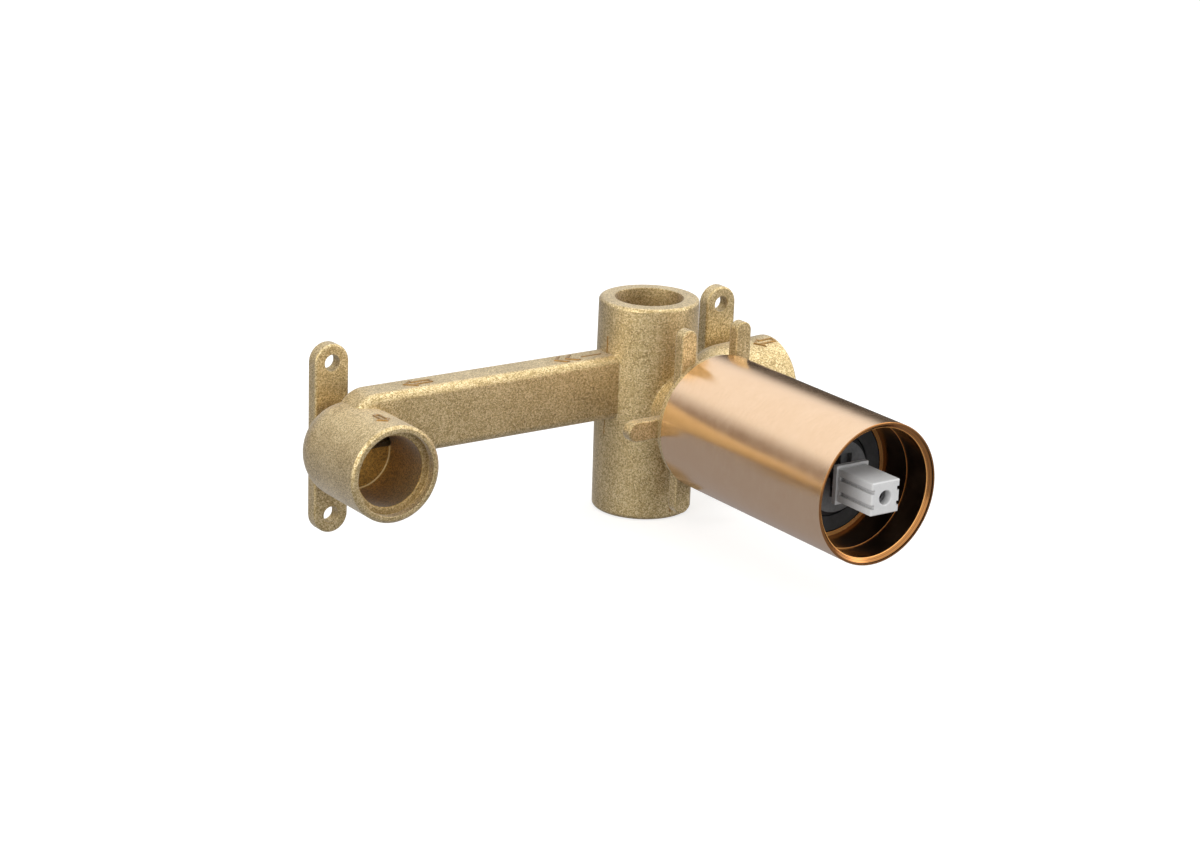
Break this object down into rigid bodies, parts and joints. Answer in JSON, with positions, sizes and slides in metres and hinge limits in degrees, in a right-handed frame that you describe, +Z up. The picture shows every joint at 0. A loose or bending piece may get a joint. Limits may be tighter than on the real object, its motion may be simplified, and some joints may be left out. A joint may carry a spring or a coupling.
{
  "type": "concealed valve body",
  "caption": "Cast brass in-wall mixer body with threaded water sockets, screw ears, a side spout socket and a copper coloured sleeve round a lever cartridge with a square stem.",
  "frame": {"origin": "On the cartridge axis, in the plane of the wall that the rear of the ears rests on", "axes": "+X towards the right hand water socket, along the arm and away from the spout; +Y into the wall, so the cartridge stem points along -Y; +Z up, along the vertical tube"},
  "size_m": [0.1463, 0.1087, 0.0588],
  "materials": {
    "cast_brass": "sand cast, fine sparkling grain",
    "copper_sleeve": "satin, copper coloured plating",
    "seal_rubber": "smooth",
    "nut_plastic": "fine matte",
    "slip_ring_plastic": "smooth",
    "cartridge_plastic": "fine matte",
    "disc_ceramic": "polished ceramic",
    "guide_plastic": "fine matte",
    "pin_steel": "ground",
    "lever_zinc": "die cast, dull",
    "stem_plastic": "smooth moulded"
  },
  "bodies": {
    "base": {"valve_body": "cast_brass", "cover_sleeve": "copper_sleeve", "sleeve_seal_front": "seal_rubber", "sleeve_seal_rear": "seal_rubber", "cartridge_nut": "nut_plastic", "nut_slip_ring": "slip_ring_plastic", "cartridge_body": "cartridge_plastic", "cartridge_base": "cartridge_plastic", "hot_inlet_seal": "seal_rubber", "cold_inlet_seal": "seal_rubber", "outlet_seal": "seal_rubber", "disc_gasket": "seal_rubber", "fixed_disc": "disc_ceramic"},
    "guide": {"turning_guide": "guide_plastic", "lever_pin": "pin_steel"},
    "lever": {"lever": "lever_zinc", "stem_adapter": "stem_plastic"},
    "carrier": {"disc_carrier": "cartridge_plastic", "moving_disc": "disc_ceramic"}
  },
  "joints": [
    {"name": "temperature", "type": "hinge", "parent": "base", "child": "guide", "pos_m": [0, -0.08, 0], "axis": [0, -1, 0], "range_deg": [-45, 45]},
    {"name": "flow", "type": "hinge", "parent": "guide", "child": "lever", "pos_m": [0, -0.0785, 0], "axis": [-1, 0, 0], "range_deg": [-12, 12]},
    {"name": "disc_slide", "type": "slide", "parent": "guide", "child": "carrier", "axis": [0, 0, 1], "range_m": [-0.00155, 0.00155]}
  ],
  "couplings": [
    {"joint": "disc_slide", "follows": "flow", "m_per_rad": -0.0073}
  ]
}
